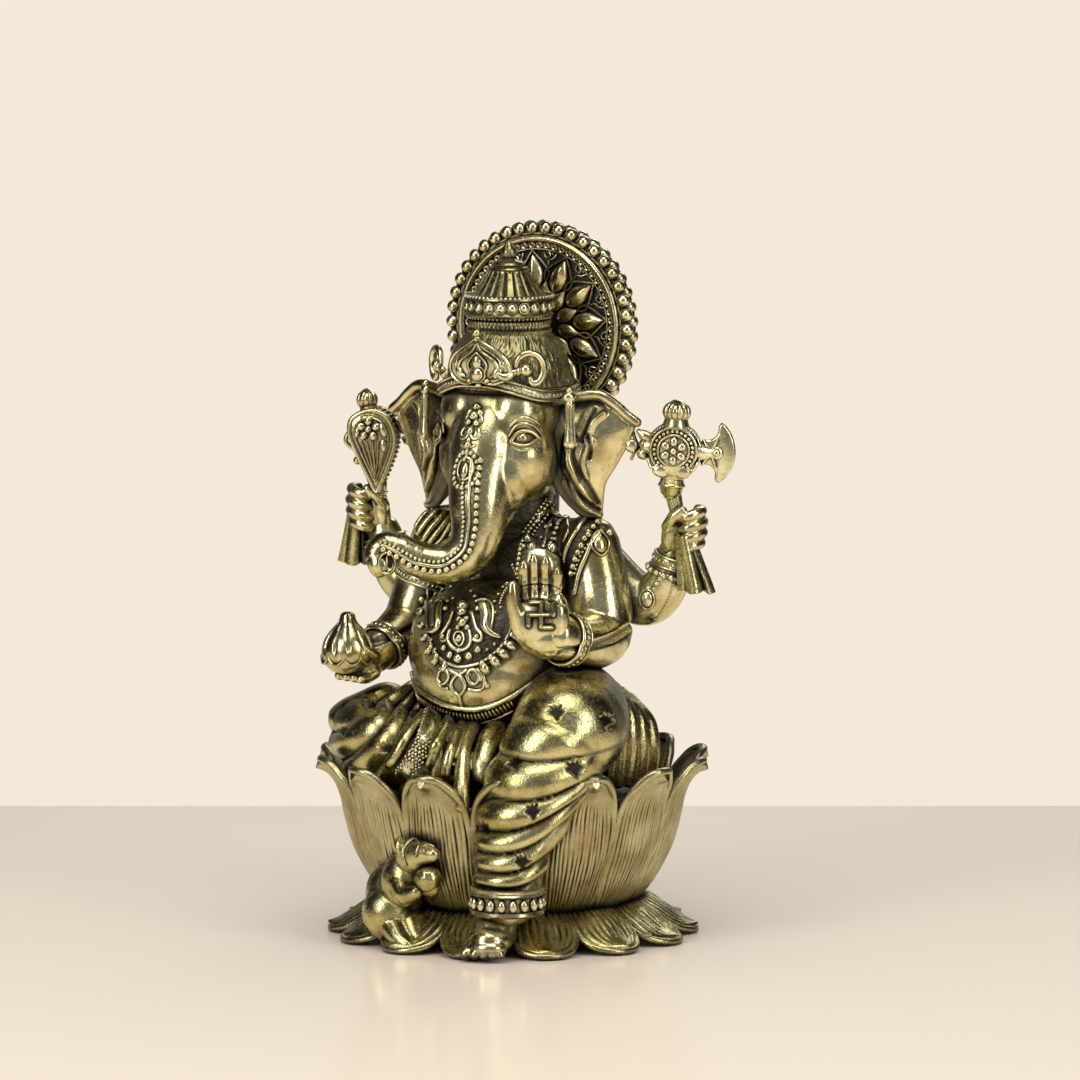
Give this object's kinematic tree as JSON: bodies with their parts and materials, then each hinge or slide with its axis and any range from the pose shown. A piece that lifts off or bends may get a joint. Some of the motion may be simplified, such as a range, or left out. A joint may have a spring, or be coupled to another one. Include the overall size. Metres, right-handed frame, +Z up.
{
  "type": "hindu deity statue",
  "caption": "Elephant-headed Ganesha figurine in antique brass, seated on a lotus with a foot down, a mouse beside it and a halo disc behind the crown.",
  "frame": {"origin": "centre of the flat underside, on the surface the figurine stands on", "axes": "+Z up, towards the top of the halo; the figure faces -Y; its own left hand is on the +X side"},
  "size_m": [0.0925, 0.0843, 0.15],
  "materials": {
    "figure_brass": "antique brass, rubbed bright on raised skin, near-black patina in recesses",
    "cloth_brass": "antique brass, fine hammered grain, dark stamped leaf marks and dark fold lines",
    "ornament_brass": "antique brass, bright beads and rims over a blackened ground",
    "lotus_brass": "antique brass, satin, with dark engraved veins"
  },
  "bodies": {
    "root": {"torso": "figure_brass", "head": "figure_brass", "trunk": "figure_brass", "hair": "figure_brass", "crown": "figure_brass", "left_ear": "figure_brass", "right_ear": "figure_brass", "left_arm": "figure_brass", "blessing_hand": "figure_brass", "right_arm": "figure_brass", "offered_sweet": "figure_brass", "offering_hand": "figure_brass", "back_left_arm": "figure_brass", "back_right_arm": "figure_brass", "back_left_hand": "figure_brass", "back_right_hand": "figure_brass", "left_foot": "figure_brass", "mouse": "figure_brass", "left_thigh": "cloth_brass", "left_shin": "cloth_brass", "folded_leg": "cloth_brass", "front_sash": "cloth_brass", "left_scarf_tail": "cloth_brass", "right_scarf_tail": "cloth_brass", "headband": "ornament_brass", "halo_rim": "ornament_brass", "halo_plate": "ornament_brass", "halo_stem": "ornament_brass", "axe": "ornament_brass", "goad": "ornament_brass", "anklet": "ornament_brass", "lotus_seat": "lotus_brass", "upper_petal_01": "lotus_brass", "upper_petal_02": "lotus_brass", "upper_petal_03": "lotus_brass", "upper_petal_04": "lotus_brass", "upper_petal_05": "lotus_brass", "upper_petal_06": "lotus_brass", "upper_petal_07": "lotus_brass", "upper_petal_08": "lotus_brass", "upper_petal_09": "lotus_brass", "upper_petal_10": "lotus_brass", "upper_petal_11": "lotus_brass", "upper_petal_12": "lotus_brass", "upper_petal_13": "lotus_brass", "upper_petal_14": "lotus_brass", "lower_petal_01": "lotus_brass", "lower_petal_02": "lotus_brass", "lower_petal_03": "lotus_brass", "lower_petal_04": "lotus_brass", "lower_petal_05": "lotus_brass", "lower_petal_06": "lotus_brass", "lower_petal_07": "lotus_brass", "lower_petal_08": "lotus_brass", "lower_petal_09": "lotus_brass", "lower_petal_10": "lotus_brass", "lower_petal_11": "lotus_brass", "lower_petal_12": "lotus_brass", "lower_petal_13": "lotus_brass", "lower_petal_14": "lotus_brass"}
  },
  "joints": []
}
